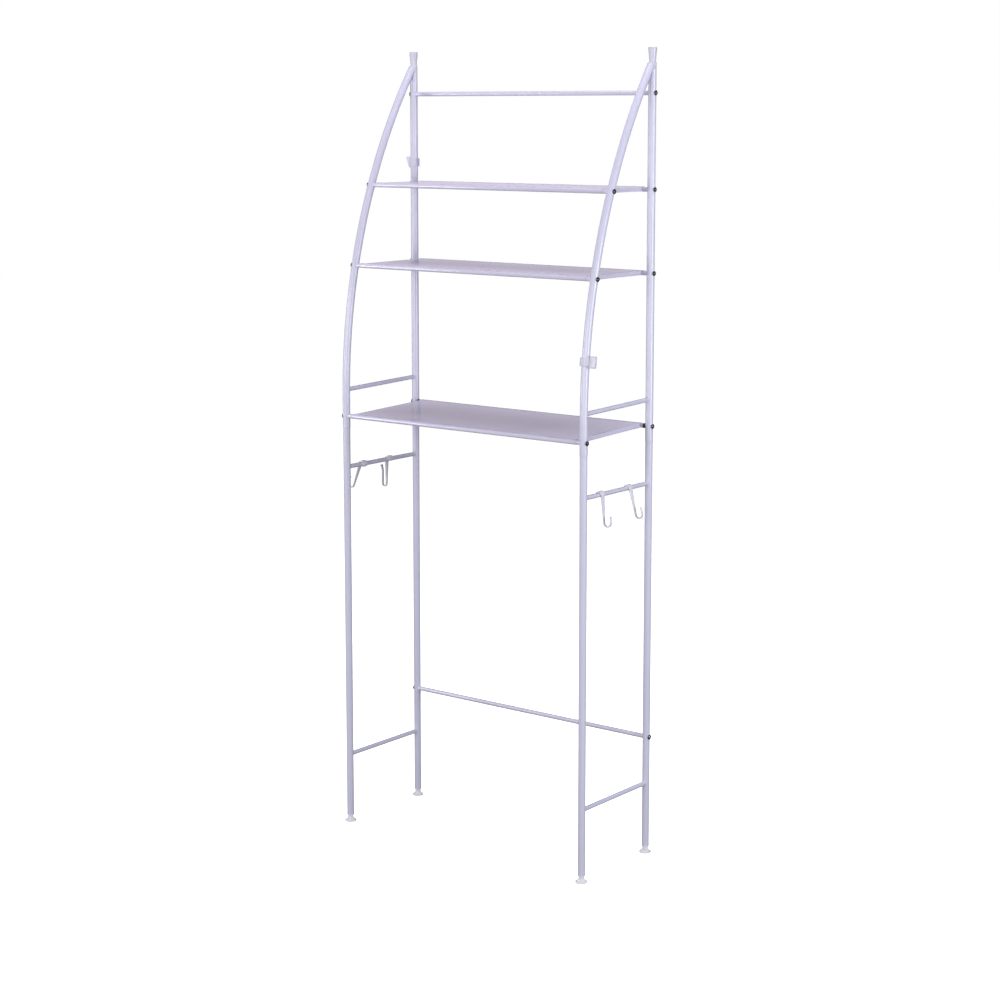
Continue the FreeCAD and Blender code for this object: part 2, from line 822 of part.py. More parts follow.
def writeParts():
    os.makedirs("parts", exist_ok=True)
    for piece in nodes:
        piece.Shape.exportStep(os.path.join("parts", piece.Label + ".step"))
    print(len(nodes), "parts written")


sideFrames()
shelves()
rearBars()
capsAndFeet()
hooksAndClips()
checkDocument()
writeParts()
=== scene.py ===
import json
import math

import bmesh
import bpy
from mathutils import Matrix, Vector


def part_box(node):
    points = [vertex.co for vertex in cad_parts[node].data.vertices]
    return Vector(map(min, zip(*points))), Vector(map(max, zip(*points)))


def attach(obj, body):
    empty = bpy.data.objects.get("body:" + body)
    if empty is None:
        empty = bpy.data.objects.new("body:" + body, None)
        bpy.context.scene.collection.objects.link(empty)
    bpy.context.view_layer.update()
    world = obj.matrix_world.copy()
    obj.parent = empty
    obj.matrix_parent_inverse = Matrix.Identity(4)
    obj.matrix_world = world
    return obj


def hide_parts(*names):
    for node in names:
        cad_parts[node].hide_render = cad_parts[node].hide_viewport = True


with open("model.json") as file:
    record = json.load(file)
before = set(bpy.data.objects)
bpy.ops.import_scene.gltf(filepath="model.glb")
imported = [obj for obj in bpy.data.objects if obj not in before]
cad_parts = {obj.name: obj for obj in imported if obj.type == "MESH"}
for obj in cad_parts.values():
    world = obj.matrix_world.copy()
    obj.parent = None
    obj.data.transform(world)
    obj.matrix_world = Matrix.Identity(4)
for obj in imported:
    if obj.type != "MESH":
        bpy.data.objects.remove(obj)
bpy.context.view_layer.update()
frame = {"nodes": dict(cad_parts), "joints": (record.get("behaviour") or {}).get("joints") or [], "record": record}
nodes = frame["nodes"]
joints = {joint["name"]: joint for joint in frame["joints"]}
corners = {"left_front": (-1, -1), "left_rear": (-1, 1), "right_front": (1, -1), "right_rear": (1, 1)}
sides = {"left": -1, "right": 1}
levels = ("lower", "middle", "upper")
mm = 0.001
print("frame loaded:", len(nodes), "nodes")


def linearColour(hexCode):
    steps = [int(hexCode[i:i + 2], 16) / 255 for i in (0, 2, 4)]
    return [s / 12.92 if s <= 0.04045 else ((s + 0.055) / 1.055) ** 2.4 for s in steps] + [1.0]


def addNode(tree, kind, settings=None, links=None):
    node = tree.nodes.new("ShaderNode" + kind)
    for name, value in (settings or {}).items():
        if name in node.inputs:
            node.inputs[name].default_value = value
        else:
            setattr(node, name, value)
    for name, source in (links or {}).items():
        tree.links.new(source, node.inputs[name])
    return node


def newMaterial(name):
    material = bpy.data.materials.new(name)
    material.use_nodes = True
    tree = material.node_tree
    tree.nodes.clear()
    place = addNode(tree, "TexCoord").outputs["Object"]
    return material, tree, place


def finishMaterial(tree, shader):
    addNode(tree, "OutputMaterial", links={"Surface": shader.outputs[0]})


noiseSpan = {"From Min": 0.3, "From Max": 0.7}  # a noise texture rarely leaves this span


def perMetre(width):
    return 1000 / width  # texture scale that makes one cell this many millimetres wide


powder = {
    "tube": ("CCCBDE", "C3C2D6"), "sheet": ("CCC9DD", "C4C0D5"),  # cloudiness of the film
    "tubeGloss": (0.18, 0.26), "sheetGloss": (0.09, 0.14),  # roughness; flat sheet levels out glossier
    "cloud": 90, "peel": 4.5, "grain": 1.3,  # mm; real peel is nearer 1.7, drawn coarser so that it shows
    "fineRelief": (0.08, 0.03), "waveRelief": (0.14, 0.08),  # bump strength and depth in mm
}


def makePowderCoat(name, tones, gloss):
    # Polyester powder baked on steel: a glossy film whose faint orange peel softens every highlight
    material, tree, place = newMaterial(name)
    cloud = addNode(tree, "TexNoise", {"Scale": perMetre(powder["cloud"]), "Detail": 3.0},
                    {"Vector": place})
    colour = addNode(tree, "MixRGB", {"Color1": linearColour(tones[0]), "Color2": linearColour(tones[1])},
                     {"Fac": cloud.outputs["Fac"]})
    peel = addNode(tree, "TexNoise", {"Scale": perMetre(powder["peel"]), "Detail": 1.5},
                   {"Vector": place})
    grain = addNode(tree, "TexNoise", {"Scale": perMetre(powder["grain"]), "Detail": 1.0},
                    {"Vector": place})
    rough = addNode(tree, "MapRange", {**noiseSpan, "To Min": gloss[0], "To Max": gloss[1]},
                    {"Value": cloud.outputs["Fac"]})
    fineStrength, fineDepth = powder["fineRelief"]
    waveStrength, waveDepth = powder["waveRelief"]
    fine = addNode(tree, "Bump", {"Strength": fineStrength, "Distance": fineDepth * mm},
                   {"Height": grain.outputs["Fac"]})
    waves = addNode(tree, "Bump", {"Strength": waveStrength, "Distance": waveDepth * mm},
                    {"Height": peel.outputs["Fac"], "Normal": fine.outputs["Normal"]})
    shader = addNode(tree, "BsdfPrincipled", {"IOR": 1.5},
                     {"Base Color": colour.outputs["Color"],
                      "Roughness": rough.outputs["Result"],
                      "Normal": waves.outputs["Normal"]})
    finishMaterial(tree, shader)
    return material


moulding = {"flow": 7, "spark": 0.5, "drag": 0.25, "swirl": 0.6, "relief": (0.15, 0.04)}  # mm


def makeMouldedPlastic(name, pale, deep, roughness, ior=1.46):
    # Injection moulded polypropylene: even colour, a waxy satin skin, faint flow marks
    material, tree, place = newMaterial(name)
    flow = addNode(tree, "Mapping", {"Scale": (1.0, 1.0, moulding["drag"])}, {"Vector": place})
    marks = addNode(tree, "TexNoise", {"Scale": perMetre(moulding["flow"]), "Detail": 2.0,
                                       "Distortion": moulding["swirl"]},
                    {"Vector": flow.outputs["Vector"]})
    colour = addNode(tree, "MixRGB", {"Color1": linearColour(pale), "Color2": linearColour(deep)},
                     {"Fac": marks.outputs["Fac"]})
    spark = addNode(tree, "TexNoise", {"Scale": perMetre(moulding["spark"]), "Detail": 2.0},
                    {"Vector": place})
    rough = addNode(tree, "MapRange", {**noiseSpan, "To Min": roughness - 0.05,
                                       "To Max": roughness + 0.06},
                    {"Value": marks.outputs["Fac"]})
    strength, depth = moulding["relief"]
    skin = addNode(tree, "Bump", {"Strength": strength, "Distance": depth * mm},
                   {"Height": spark.outputs["Fac"]})
    shader = addNode(tree, "BsdfPrincipled", {"IOR": ior},
                     {"Base Color": colour.outputs["Color"],
                      "Roughness": rough.outputs["Result"],
                      "Normal": skin.outputs["Normal"]})
    finishMaterial(tree, shader)
    return material


plating = {"cloud": 3, "stretch": 0.15, "relief": (0.08, 0.03)}  # mm


def makePlatedMetal(name, bright, dull, roughness, scratch):
    # Electroplate over steel: mirror colour broken by fine scratches and slight clouding
    material, tree, place = newMaterial(name)
    cloud = addNode(tree, "TexNoise", {"Scale": perMetre(plating["cloud"]), "Detail": 3.0},
                    {"Vector": place})
    colour = addNode(tree, "MixRGB", {"Color1": linearColour(bright), "Color2": linearColour(dull)},
                     {"Fac": cloud.outputs["Fac"]})
    drawn = addNode(tree, "Mapping", {"Scale": (plating["stretch"], 1.0, 1.0)}, {"Vector": place})
    lines = addNode(tree, "TexNoise", {"Scale": perMetre(scratch), "Detail": 2.0},
                    {"Vector": drawn.outputs["Vector"]})
    rough = addNode(tree, "MapRange", {**noiseSpan, "To Min": roughness - 0.04,
                                       "To Max": roughness + 0.08},
                    {"Value": lines.outputs["Fac"]})
    strength, depth = plating["relief"]
    skin = addNode(tree, "Bump", {"Strength": strength, "Distance": depth * mm},
                   {"Height": lines.outputs["Fac"]})
    shader = addNode(tree, "BsdfPrincipled", {"Metallic": 1.0},
                     {"Base Color": colour.outputs["Color"],
                      "Roughness": rough.outputs["Result"],
                      "Normal": skin.outputs["Normal"]})
    finishMaterial(tree, shader)
    return material


powderCoat = makePowderCoat("powderCoatedTube", powder["tube"], powder["tubeGloss"])
sheetCoat = makePowderCoat("powderCoatedSheet", powder["sheet"], powder["sheetGloss"])
fittingPlastic = makeMouldedPlastic("mouldedPolypropylene", "DAD8E2", "CFCDD8", 0.34)
# darker copy of the hooks' polypropylene: painted shade for the top caps, both clip collars with their tab rims,
# and the left clip's tab
shadedCopyPlastic = makeMouldedPlastic("polypropyleneShadedCopy", "CAC8D8", "BDBBCC", 0.32)
footPlastic = makeMouldedPlastic("footPolyethylene", "E2E2E6", "D6D6DC", 0.42)
# lighter copy of the same polypropylene: painted light on the face of the right clip's tab
litTabPlastic = makeMouldedPlastic("polypropyleneLitCopy", "EAE8F2", "DFDDEA", 0.30)
blackNylon = makeMouldedPlastic("blackNylon", "17171A", "101012", 0.45, 1.53)
zincPlate = makePlatedMetal("brightZincPlate", "C3C6CB", "A9ADB4", 0.26, 0.4)
blackNickel = makePlatedMetal("blackNickelPlate", "8E8D94", "6E6D74", 0.14, 0.3)
finishes = {
    "powder_coated_steel": powderCoat,
    "moulded_plastic": fittingPlastic,
    "foot_plastic": footPlastic,
    "black_plastic": blackNylon,
    "zinc_plated_steel": zincPlate,
    "black_nickel_steel": blackNickel,
}
print("materials mixed")


def roundCorners(outline, closed=True, arcStep=15):
    # outline points are (x, y) or (x, y, corner radius)
    points, count = [], len(outline)
    for number, corner in enumerate(outline):
        here = Vector(corner[:2])
        radius = corner[2] if len(corner) > 2 else 0
        if radius == 0 or (not closed and number in (0, count - 1)):
            points.append(here)
            continue
        before = Vector(outline[number - 1][:2]) - here
        after = Vector(outline[(number + 1) % count][:2]) - here
        half = before.angle(after) / 2
        reach = min(radius / math.tan(half), before.length * 0.5, after.length * 0.5)
        radius = reach * math.tan(half)
        inward = (before.normalized() + after.normalized()).normalized()
        centre = here + inward * (radius / math.sin(half))
        first = here + before.normalized() * reach - centre
        last = here + after.normalized() * reach - centre
        turn = math.atan2(first.x * last.y - first.y * last.x, first.dot(last))
        # the small allowance keeps rounding error from adding a step to some corners only
        steps = max(2, math.ceil(abs(turn) / math.radians(arcStep) - 0.01))
        for step in range(steps + 1):
            spin = Matrix.Rotation(turn * step / steps, 2)
            points.append(centre + spin @ first)
    return points


def arcPoints(radius, start, end, steps, centre=(0, 0)):
    points = []
    for step in range(steps + 1):
        a = math.radians(start + (end - start) * step / steps)
        points.append((centre[0] + radius * math.cos(a), centre[1] + radius * math.sin(a)))
    return points


def lathe(profile, spokes=64, loop=False, hexes=()):
    # profile is (radius, height) in order. hexes lists rows that are six-sided, radius across flats
    verts, rows = [], []
    for number, (radius, height) in enumerate(profile):
        if radius < 1e-6:
            rows.append([len(verts)])
            verts.append(Vector((0, 0, height)))
            continue
        row = []
        for spoke in range(spokes):
            a = 2 * math.pi * spoke / spokes
            reach = radius
            if number in hexes:
                reach = radius / math.cos((a % (math.pi / 3)) - math.pi / 6)
            row.append(len(verts))
            verts.append(Vector((reach * math.cos(a), reach * math.sin(a), height)))
        rows.append(row)
    faces = []
    pairs = list(zip(rows, rows[1:])) + ([(rows[-1], rows[0])] if loop else [])
    for low, high in pairs:
        for k in range(spokes):
            n = (k + 1) % spokes
            if len(low) == 1:
                faces.append((low[0], high[n], high[k]))
            elif len(high) == 1:
                faces.append((low[k], low[n], high[0]))
            else:
                faces.append((low[k], low[n], high[n], high[k]))
    return verts, faces


def sweep(stations, section, closed=False):
    # each station is (point, side axis, up axis, side scale, up scale)
    verts, faces, count = [], [], len(section)
    for point, side, up, wide, tall in stations:
        for a, b in section:
            verts.append(point + side * (a * wide) + up * (b * tall))
    total = len(stations)
    for row in range(total if closed else total - 1):
        following = (row + 1) % total
        for k in range(count):
            n = (k + 1) % count
            faces.append((row * count + k, row * count + n,
                          following * count + n, following * count + k))
    if not closed:
        faces.append(tuple(reversed(range(count))))
        faces.append(tuple((total - 1) * count + k for k in range(count)))
    return verts, faces


def plate(outline, low, high):
    # flat outline in XZ given a thickness along Y
    count = len(outline)
    verts = [Vector((x, y, z)) for y in (low, high) for x, z in outline]
    faces = [tuple(range(count)), tuple(reversed(range(count, 2 * count)))]
    faces += [(k, k + count, (k + 1) % count + count, (k + 1) % count) for k in range(count)]
    return verts, faces


def moved(shell, matrix):
    verts, faces = shell
    return [matrix @ v for v in verts], faces


def addPiece(name, shells, material, body, stands=(), sharp=32):
    verts, faces = [], []
    for shellVerts, shellFaces in shells:
        start = len(verts)
        verts += [v * mm for v in shellVerts]
        faces += [tuple(start + k for k in face) for face in shellFaces]
    mesh = bpy.data.meshes.new(name)
    mesh.from_pydata(verts, [], faces)
    work = bmesh.new()
    work.from_mesh(mesh)
    bmesh.ops.recalc_face_normals(work, faces=work.faces)
    work.to_mesh(mesh)
    work.free()
    mesh.shade_smooth()
    mesh.set_sharp_from_angle(angle=math.radians(sharp))
    mesh.materials.append(material)
    piece = bpy.data.objects.new(name, mesh)
    bpy.context.scene.collection.objects.link(piece)
    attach(piece, body)
    if stands:
        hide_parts(*stands)
    return piece


def centreOf(node):
    low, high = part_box(node)
    return (low + high) / 2 / mm


def sizeOf(node):
    low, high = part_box(node)
    return (high - low) / mm


view = {"place": (2.8917, -3.6765, 1.6215), "turn": 37.866, "down": 8.101, "tilt": -0.007,
        "lens": 77.474, "shift": (-0.00641, -0.08336)}


def addCamera():
    camera = bpy.data.objects.new("camera", bpy.data.cameras.new("camera"))
    camera.data.sensor_width = 36
    camera.data.lens = view["lens"]
    camera.data.shift_x, camera.data.shift_y = view["shift"]
    camera.location = view["place"]
    camera.rotation_euler = [math.radians(a) for a in (90 - view["down"], view["tilt"], view["turn"])]
    bpy.context.scene.collection.objects.link(camera)
    bpy.context.scene.camera = camera


addCamera()


def dressFrame():
    slots = {row["node"]: row["material_slot"] for row in frame["record"]["subparts"]}
    for name, piece in nodes.items():
        piece.data.materials.clear()
        piece.data.materials.append(finishes[slots[name]])


dressFrame()
print("tubes, rails and bars finished")


weld = {"bead": 0.95, "seam": 1.9, "ripple": 0.14, "sink": 0.25, "pitch": 1.1,
        "startBelow": 1.5, "step": 0.5}  # mm


def beadStations(points, outs, closed, width):
    stations, travelled = [], 0.0
    for number, point in enumerate(points):
        before = points[number - 1] if (closed or number) else point
        after = points[(number + 1) % len(points)] if (closed or number < len(points) - 1) else point
        travelled += (point - points[number - 1]).length if number else 0
        along = (after - before).normalized()
        out = outs[number]
        across = along.cross(out).normalized()
        size = width + weld["ripple"] * math.sin(2 * math.pi * travelled / weld["pitch"])
        if not closed:  # the bead thins out where the welder started and stopped
            size *= min(1, 0.25 + min(number, len(points) - 1 - number) / 6)
        stations.append((point - out * weld["sink"], across, out, size, size * 0.8))
    return stations


def barWeld(upright, bar, direction, slope=0.0):
    # saddle-shaped bead where a bar along Y meets an upright along Z; distances in mm
    centre, uprightRadius = upright
    barHeight, barRadius = bar
    points, outs = [], []
    count = 120
    for k in range(count):
        a = 2 * math.pi * k / count
        x, z = barRadius * math.cos(a), barRadius * math.sin(a)
        y = math.sqrt(uprightRadius ** 2 - x * x)
        points.append(Vector((centre.x + x, centre.y + direction * y,
                              barHeight + z + slope * direction * y)))
        fromUpright = Vector((x, direction * y, 0)).normalized()
        fromBar = Vector((x, 0, z)).normalized()
        outs.append((fromUpright + fromBar).normalized())
    return sweep(beadStations(points, outs, True, weld["bead"]), arcPoints(1, 0, 330, 11), True)


bow = {"straightTo": 990, "radius": 1240}  # mm, the front tubes' bend


def bowLean(height):
    rise = max(0, height - bow["straightTo"])
    return bow["radius"] - math.sqrt(bow["radius"] ** 2 - rise ** 2)


def bowSeam(side):
    # bead down one flank of the joint between bow and upright, round its crotch, and up the other
    upright = centreOf(side + "_rear_upright")
    radius = sizeOf(side + "_rear_upright").x / 2
    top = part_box(side + "_rear_upright")[1].z / mm
    front = centreOf(side + "_front_leg").y
    flank = []
    height = top - weld["startBelow"]
    while True:
        bowY = front + bowLean(height)
        lean = math.cos(math.asin((height - bow["straightTo"]) / bow["radius"]))
        y = (upright.y + bowY * lean) / (1 + lean)
        if upright.y - y >= radius - 0.05:
            break
        flank.append((math.sqrt(radius ** 2 - (upright.y - y) ** 2), y, height))
        height -= weld["step"]
    points = [Vector((upright.x + x, y, z)) for x, y, z in flank]
    points += [Vector((upright.x - x, y, z)) for x, y, z in reversed(flank)]
    outs = [Vector((p.x - upright.x, -0.25 * radius, -0.15 * radius)).normalized() for p in points]
    return sweep(beadStations(points, outs, False, weld["seam"]), arcPoints(1, 0, 330, 11))


def addWelds():
    for side in sides:
        shells = [bowSeam(side)]
        front, rear = centreOf(side + "_front_leg"), centreOf(side + "_rear_leg")
        rearTop = centreOf(side + "_rear_upright")
        legRadius = sizeOf(side + "_rear_leg").x / 2 - 0.5  # the collar above is 0.5 wider
        tubeRadius = sizeOf(side + "_rear_upright").x / 2
        for bar in ("_floor_bar", "_hook_bar"):
            height, half = centreOf(side + bar).z, sizeOf(side + bar).x / 2
            shells.append(barWeld((front, legRadius), (height, half), 1))
            shells.append(barWeld((rear, legRadius), (height, half), -1))
        low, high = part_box(side + "_guard_bar")
        half = (high.x - low.x) / mm / 2
        startHeight, endHeight = low.z / mm + half, high.z / mm - half
        slope = (endHeight - startHeight) / (rear.y - front.y)
        bowFoot = front + Vector((0, bowLean(startHeight), 0))
        shells.append(barWeld((bowFoot, tubeRadius), (startHeight, half), 1, slope))
        shells.append(barWeld((rearTop, tubeRadius), (endHeight, half), -1, -slope))
        addPiece(side + "_weld_beads", shells, powderCoat, "frame", sharp=60)


addWelds()
print("welds laid")


panel = {"sheet": 0.8, "curl": 5.45, "curlEnd": 125, "inset": 7, "dip": 0.9, "fold": 1.6, "drop": 4.3,
         "corner": 3.0, "hem": 0.22, "stations": 24,
         "ease": 2.5, "step": 1.6, "stepLevel": 0.55}  # mm, degrees; the step down behind each curl


def shelfSheet(depth, half):
    # middle surface of the sheet: curl, flat, curl along Y, with its ends folded down between the curls
    curl, end = panel["curl"], panel["curlEnd"]
    front = list(reversed(arcPoints(curl, 90, 90 + end, 14)))
    rear = arcPoints(curl, 90, 90 - end, 14, (depth, 0))
    level = curl - panel["dip"]  # the roll stands just proud of the flat
    start = panel["inset"] - panel["ease"]
    stepped = curl - panel["stepLevel"] * panel["dip"]
    flat = [(start - panel["step"], stepped), (start, level), (panel["inset"], level),
            (depth / 3, level), (2 * depth / 3, level), (depth - panel["inset"], level),
            (depth - start, level), (depth - start + panel["step"], stepped)]
    profile = front + flat + rear
    flatFrom, flatTo = len(front) + 2, len(front) + len(flat) - 3
    foldAt = half - panel["fold"] - panel["sheet"] / 2
    reach = half - panel["sheet"] / 2
    verts, faces, columns = [], [], []
    stations = [-foldAt + 2 * foldAt * k / panel["stations"] for k in range(panel["stations"] + 1)]
    for x in stations:
        columns.append([len(verts) + k for k in range(len(profile))])
        verts += [Vector((x, y, z)) for y, z in profile]
    for left, right in zip(columns, columns[1:]):
        faces += [(left[k], right[k], right[k + 1], left[k + 1]) for k in range(len(profile) - 1)]
    for side, column in ((-1, columns[0]), (1, columns[-1])):
        tip = [len(verts) + k for k in range(len(profile))]
        verts += [Vector((side * half, y, z)) for y, z in profile]
        for k in range(len(profile) - 1):
            if k + 1 <= flatFrom or k >= flatTo:
                faces.append((column[k], tip[k], tip[k + 1], column[k + 1]))
        last = column[flatFrom:flatTo + 1]
        rows = [(foldAt + panel["fold"] * math.sin(a), level - panel["fold"] * (1 - math.cos(a)), 0)
                for a in (math.radians(15 * k) for k in range(1, 7))]
        for a in (math.radians(15 * k) for k in range(7)):
            rows.append((reach, -panel["drop"] + panel["corner"] * (1 - math.sin(a)),
                         panel["corner"] * (1 - math.cos(a))))
        for x, z, pull in rows:
            row = []
            for number, (y, _) in enumerate(profile[flatFrom:flatTo + 1]):
                shift = pull if number == 0 else -pull if number == len(last) - 1 else 0
                row.append(len(verts))
                verts.append(Vector((side * x, y + shift, z)))
            faces += [(last[k], row[k], row[k + 1], last[k + 1]) for k in range(len(last) - 1)]
            last = row
    used = sorted({k for face in faces for k in face})
    index = {old: new for new, old in enumerate(used)}
    return [verts[k] for k in used], [tuple(index[k] for k in face) for face in faces]


def addShelf(level):
    front = centreOf(level + "_shelf_front_rail")
    rear = centreOf(level + "_shelf_rear_rail")
    run = rear - front
    half = sizeOf(level + "_shelf_panel").x / 2
    shell = shelfSheet(math.hypot(run.y, run.z), half)
    place = (Matrix.Translation((0, front.y, front.z))
             @ Matrix.Rotation(math.atan2(run.z, run.y), 4, "X"))
    piece = addPiece(level + "_shelf_sheet", [moved(shell, place)], sheetCoat, "frame",
                     [level + "_shelf_panel"], 50)
    solid = piece.modifiers.new("gauge", "SOLIDIFY")
    solid.thickness = panel["sheet"] * mm
    solid.offset = 0
    hem = piece.modifiers.new("hem", "BEVEL")
    hem.width = panel["hem"] * mm
    hem.segments = 2
    hem.limit_method = "ANGLE"
    hem.angle_limit = math.radians(50)


for level in levels:
    addShelf(level)
print("shelves folded")


screw = {"head": 5.5, "rise": 3.4, "rim": 1.2, "shank": 2.4, "reach": 36, "across": 2.0, "deep": 2.1,
         "pitch": 0.8, "cut": 0.28}  # mm


def screwShells():
    # low pan head with a hexagon socket; the thread is cut from under the head to the tip
    head, rise, across = screw["head"], screw["rise"], screw["across"]
    dome = roundCorners([(screw["shank"], 0), (head, 0, 0.35), (head, screw["rim"], 0.8),
                         (head * 0.62, rise - 0.35, 3.0), (across + 0.9, rise, 0.5),
                         (across + 0.35, rise)], False, 12)
    profile = [(0, -3.0), (screw["shank"], -3.0)] + [tuple(p) for p in dome]
    hexes = [len(profile), len(profile) + 1]
    profile += [(across, rise - 0.3), (across, rise - screw["deep"]), (0, rise - screw["deep"] - 0.5)]
    shells = [lathe(profile, 48, hexes=hexes)]
    spokes, rows = 24, int(screw["reach"] / screw["pitch"] * 4)
    verts, faces = [], []
    for row in range(rows + 1):
        for spoke in range(spokes):
            z = -2.5 - (screw["reach"] - 2.5) * row / rows
            phase = (z / screw["pitch"] - spoke / spokes) % 1
            depth = screw["cut"] * (1 - abs(2 * phase - 1))
            a = 2 * math.pi * spoke / spokes
            reach = screw["shank"] - depth
            verts.append(Vector((reach * math.cos(a), reach * math.sin(a), z)))
    for row in range(rows):
        for k in range(spokes):
            n = (k + 1) % spokes
            faces.append((row * spokes + k, row * spokes + n,
                          (row + 1) * spokes + n, (row + 1) * spokes + k))
    faces += [tuple(range(spokes)), tuple(rows * spokes + k for k in range(spokes))]
    shells.append((verts, faces))
    return shells


def addScrews():
    shells = screwShells()
    spots = {}
    for group in ("top_bar", "back_bar"):
        spots[group] = [centreOf(group)]
    for level in levels:
        spots[level + "_shelf"] = [centreOf(level + "_shelf_front_rail"),
                                   centreOf(level + "_shelf_rear_rail")]
    for group, centres in spots.items():
        made = []
        face = sizeOf(group + "_screws").x / 2 - screw["rise"]
        for number, centre in enumerate(centres):
            for side in (-1, 1):
                spin = Matrix.Rotation(math.radians(17 * number + 23 * side), 4, "Z")
                place = (Matrix.Translation((side * face, centre.y, centre.z))
                         @ Matrix.Rotation(math.radians(90 * side), 4, "Y") @ spin)
                made += [moved(shell, place) for shell in shells]
        addPiece(group + "_cap_screws", made, blackNickel, "frame",
                 [group + "_screws"], 30)


addScrews()
print("screws driven")


cap = {"plug": 7.6, "neck": 7.3, "head": 9.3, "flare": 25, "plugDeep": 15, "gate": 1.6}  # mm


def addCaps():
    for side in sides:
        centre = centreOf(side + "_top_cap")
        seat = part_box(side + "_rear_upright")[1].z / mm
        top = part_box(side + "_top_cap")[1].z / mm
        flareTop = seat + cap["flare"]
        bend = cap["head"] - cap["neck"]
        radius = (bend ** 2 + cap["flare"] ** 2) / (2 * bend)  # arc that starts plumb at the neck
        flare = []
        for step in range(13):
            rise = cap["flare"] * step / 12
            flare.append((cap["neck"] + radius - math.sqrt(radius ** 2 - rise ** 2), seat + rise))
        crown = roundCorners([(cap["head"], flareTop), (cap["head"], top, 1.1),
                              (cap["gate"] + 1.2, top, 0.4), (cap["gate"], top - 0.5, 0.3),
                              (0, top - 0.5)], False, 15)
        foot = roundCorners([(0, seat - cap["plugDeep"]), (cap["plug"], seat - cap["plugDeep"], 1.0),
                             (cap["plug"], seat - 0.02)], False, 20)
        lip = [(cap["neck"] + 1.05, seat), (cap["neck"] + 1.2, seat + 0.25),
               (cap["neck"] + 1.05, seat + 0.6), (cap["neck"] + 0.25, seat + 0.85)]
        profile = [tuple(p) for p in foot] + lip + flare[1:] + [tuple(p) for p in crown[1:]]
        shell = moved(lathe(profile, 72), Matrix.Translation((centre.x, centre.y, 0)))
        addPiece(side + "_cap_finial", [shell], shadedCopyPlastic, "frame",
                 [side + "_top_cap"], 40)


foot = {"pad": 13.2, "rim": 2.6, "cone": 6.4, "neck": 6.2, "top": 13.5, "stud": 3.0, "seat": 5,
        "pitch": 1.0, "cut": 0.34, "ribs": 6}  # mm


def padShell():
    outline = [(0, 0.9), (foot["pad"] - 3.2, 0.9, 0.4), (foot["pad"] - 2.6, 0, 0.3), (foot["pad"], 0, 0.7),
               (foot["pad"], foot["rim"], 0.7), (foot["neck"] + 0.9, foot["cone"] - 1.2, 1.8),
               (foot["neck"], foot["cone"] + 0.6, 2.0), (foot["neck"], foot["top"], 0.8),
               (foot["stud"], foot["top"]), (foot["stud"], foot["seat"]), (0, foot["seat"])]
    return lathe([tuple(p) for p in roundCorners(outline, False, 12)], 72)


def ribShells():
    # six thin webs that stiffen the pad's cone
    shells = []
    for number in range(foot["ribs"]):
        outline = [(foot["neck"] - 0.4, foot["cone"] - 2.6), (foot["pad"] - 1.4, foot["rim"] - 0.5),
                   (foot["pad"] - 1.9, foot["rim"] + 0.9, 0.6),
                   (foot["neck"] + 0.6, foot["cone"] + 1.4, 1.2),
                   (foot["neck"] - 0.4, foot["cone"] + 1.8)]
        web = plate([tuple(p) for p in roundCorners(outline)], -0.45, 0.45)
        shells.append(moved(web, Matrix.Rotation(math.radians(360 / foot["ribs"] * number + 11), 4, "Z")))
    return shells


def studShell(low, high):
    # threaded only where it can be seen as the foot is wound out
    spokes, rows = 32, int((high - low) / foot["pitch"] * 5)
    verts, faces = [], []
    for row in range(rows + 1):
        z = low + (high - low) * row / rows
        fade = min(1, (z - low) / 8, (high - z) / 2)
        for spoke in range(spokes):
            phase = (z / foot["pitch"] - spoke / spokes) % 1
            reach = foot["stud"] - foot["cut"] * fade * (1 - abs(2 * phase - 1))
            a = 2 * math.pi * spoke / spokes
            verts.append(Vector((reach * math.cos(a), reach * math.sin(a), z)))
    for row in range(rows):
        for k in range(spokes):
            n = (k + 1) % spokes
            faces.append((row * spokes + k, row * spokes + n,
                          (row + 1) * spokes + n, (row + 1) * spokes + k))
    faces += [tuple(range(spokes)), tuple(rows * spokes + k for k in range(spokes))]
    return verts, faces


def addFeet():
    for corner in corners:
        centre = centreOf(corner + "_foot_pad")
        place = Matrix.Translation((centre.x, centre.y, 0))
        shells = [moved(shell, place) for shell in [padShell()] + ribShells()]
        addPiece(corner + "_foot_glide", shells, footPlastic, corner + "_foot",
                 [corner + "_foot_pad"], 35)
        low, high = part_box(corner + "_foot_stud")
        addPiece(corner + "_foot_thread", [moved(studShell(low.z / mm, high.z / mm), place)], zincPlate,
                 corner + "_foot", [corner + "_foot_stud"], 40)


plug = {"flange": 8.4, "flangeLow": 14, "seat": 17, "body": 6.95, "deep": 15, "bore": 3.08}  # mm


def addLegPlugs():
    outline = [(plug["bore"], plug["flangeLow"] + 0.6), (plug["bore"] + 0.6, plug["flangeLow"], 0.3),
               (plug["flange"], plug["flangeLow"], 1.3), (plug["flange"], plug["seat"], 0.5),
               (plug["body"], plug["seat"]), (plug["body"], plug["seat"] + plug["deep"], 0.8),
               (plug["bore"], plug["seat"] + plug["deep"])]
    profile = [tuple(p) for p in roundCorners(outline, False, 15)]
    shells = []
    for corner in corners:
        centre = centreOf(corner + "_foot_pad")
        shells.append(moved(lathe(profile, 64, loop=True), Matrix.Translation((centre.x, centre.y, 0))))
    addPiece("leg_end_plugs", shells, fittingPlastic, "frame", ["leg_plugs"], 35)


addCaps()
addFeet()
addLegPlugs()
print("caps, feet and plugs moulded")


hook = {
    "bore": 5.08, "wall": 2.8, "width": 15, "lip": 205, "drop": 59,
    "shank": 11.2, "shankLow": 6.0, "limb": 5.6, "edge": 0.85,
    "wide": {"turn": 7.2, "limb": 13, "rise": 0, "out": 0},
    "tall": {"turn": 4.6, "limb": 28, "rise": 14, "out": 4},
}  # mm, degrees
hookLean = {"left_front": 22, "left_rear": 1, "right_front": 4, "right_rear": 14}  # outward, degrees


